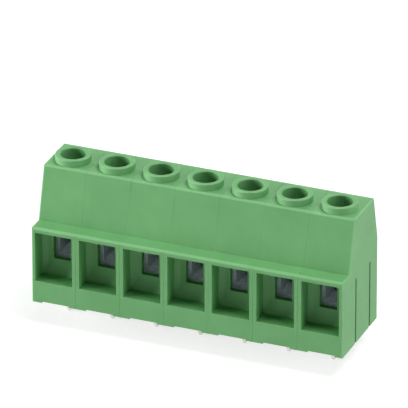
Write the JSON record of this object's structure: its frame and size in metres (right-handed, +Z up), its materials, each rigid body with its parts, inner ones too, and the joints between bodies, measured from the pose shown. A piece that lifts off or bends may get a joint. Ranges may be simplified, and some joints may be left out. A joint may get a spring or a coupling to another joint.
{
  "type": "pcb screw terminal",
  "caption": "Screw terminal block for a circuit board: a row of interlocking moulded housings with wire funnels, solder pins and rising sleeves clamped by captive screws.",
  "frame": {"origin": "middle of the middle pole's front solder pin, at the face of the board", "axes": "+X along the row of poles to the grooved end, +Y from the wire side to the back, +Z up from the board"},
  "size_m": [0.0675, 0.0194, 0.0339],
  "materials": {
    "housing_polyamide": "moulded green polyamide, fine satin",
    "contact_tin": "matt tin plate over copper alloy",
    "sleeve_zinc": "zinc-plated steel, blue passivated",
    "screw_zinc": "zinc-plated steel, blue passivated"
  },
  "bodies": {
    "block": {"housing_1": "housing_polyamide", "housing_2": "housing_polyamide", "housing_3": "housing_polyamide", "housing_4": "housing_polyamide", "housing_5": "housing_polyamide", "housing_6": "housing_polyamide", "housing_7": "housing_polyamide", "contact_1": "contact_tin", "contact_2": "contact_tin", "contact_3": "contact_tin", "contact_4": "contact_tin", "contact_5": "contact_tin", "contact_6": "contact_tin", "contact_7": "contact_tin"},
    "screw_1": {"screw_1": "screw_zinc"},
    "sleeve_1": {"sleeve_1": "sleeve_zinc"},
    "screw_2": {"screw_2": "screw_zinc"},
    "sleeve_2": {"sleeve_2": "sleeve_zinc"},
    "screw_3": {"screw_3": "screw_zinc"},
    "sleeve_3": {"sleeve_3": "sleeve_zinc"},
    "screw_4": {"screw_4": "screw_zinc"},
    "sleeve_4": {"sleeve_4": "sleeve_zinc"},
    "screw_5": {"screw_5": "screw_zinc"},
    "sleeve_5": {"sleeve_5": "sleeve_zinc"},
    "screw_6": {"screw_6": "screw_zinc"},
    "sleeve_6": {"sleeve_6": "sleeve_zinc"},
    "screw_7": {"screw_7": "screw_zinc"},
    "sleeve_7": {"sleeve_7": "sleeve_zinc"}
  },
  "joints": [
    {"name": "screw_1_turn", "type": "hinge", "parent": "block", "child": "screw_1", "pos_m": [-0.02856, 0.0027, 0], "axis": [0, 0, -1], "range_deg": [0, 2880]},
    {"name": "sleeve_1_rise", "type": "slide", "parent": "block", "child": "sleeve_1", "axis": [0, 0, 1], "range_m": [0, 0.0048]},
    {"name": "screw_2_turn", "type": "hinge", "parent": "block", "child": "screw_2", "pos_m": [-0.01904, 0.0027, 0], "axis": [0, 0, -1], "range_deg": [0, 2880]},
    {"name": "sleeve_2_rise", "type": "slide", "parent": "block", "child": "sleeve_2", "axis": [0, 0, 1], "range_m": [0, 0.0048]},
    {"name": "screw_3_turn", "type": "hinge", "parent": "block", "child": "screw_3", "pos_m": [-0.00952, 0.0027, 0], "axis": [0, 0, -1], "range_deg": [0, 2880]},
    {"name": "sleeve_3_rise", "type": "slide", "parent": "block", "child": "sleeve_3", "axis": [0, 0, 1], "range_m": [0, 0.0048]},
    {"name": "screw_4_turn", "type": "hinge", "parent": "block", "child": "screw_4", "pos_m": [0, 0.0027, 0], "axis": [0, 0, -1], "range_deg": [0, 2880]},
    {"name": "sleeve_4_rise", "type": "slide", "parent": "block", "child": "sleeve_4", "axis": [0, 0, 1], "range_m": [0, 0.0048]},
    {"name": "screw_5_turn", "type": "hinge", "parent": "block", "child": "screw_5", "pos_m": [0.00952, 0.0027, 0], "axis": [0, 0, -1], "range_deg": [0, 2880]},
    {"name": "sleeve_5_rise", "type": "slide", "parent": "block", "child": "sleeve_5", "axis": [0, 0, 1], "range_m": [0, 0.0048]},
    {"name": "screw_6_turn", "type": "hinge", "parent": "block", "child": "screw_6", "pos_m": [0.01904, 0.0027, 0], "axis": [0, 0, -1], "range_deg": [0, 2880]},
    {"name": "sleeve_6_rise", "type": "slide", "parent": "block", "child": "sleeve_6", "axis": [0, 0, 1], "range_m": [0, 0.0048]},
    {"name": "screw_7_turn", "type": "hinge", "parent": "block", "child": "screw_7", "pos_m": [0.02856, 0.0027, 0], "axis": [0, 0, -1], "range_deg": [0, 2880]},
    {"name": "sleeve_7_rise", "type": "slide", "parent": "block", "child": "sleeve_7", "axis": [0, 0, 1], "range_m": [0, 0.0048]}
  ],
  "couplings": [
    {"joint": "screw_1_turn", "follows": "sleeve_1_rise", "rad_per_m": 10472},
    {"joint": "screw_2_turn", "follows": "sleeve_2_rise", "rad_per_m": 10472},
    {"joint": "screw_3_turn", "follows": "sleeve_3_rise", "rad_per_m": 10472},
    {"joint": "screw_4_turn", "follows": "sleeve_4_rise", "rad_per_m": 10472},
    {"joint": "screw_5_turn", "follows": "sleeve_5_rise", "rad_per_m": 10472},
    {"joint": "screw_6_turn", "follows": "sleeve_6_rise", "rad_per_m": 10472},
    {"joint": "screw_7_turn", "follows": "sleeve_7_rise", "rad_per_m": 10472}
  ]
}
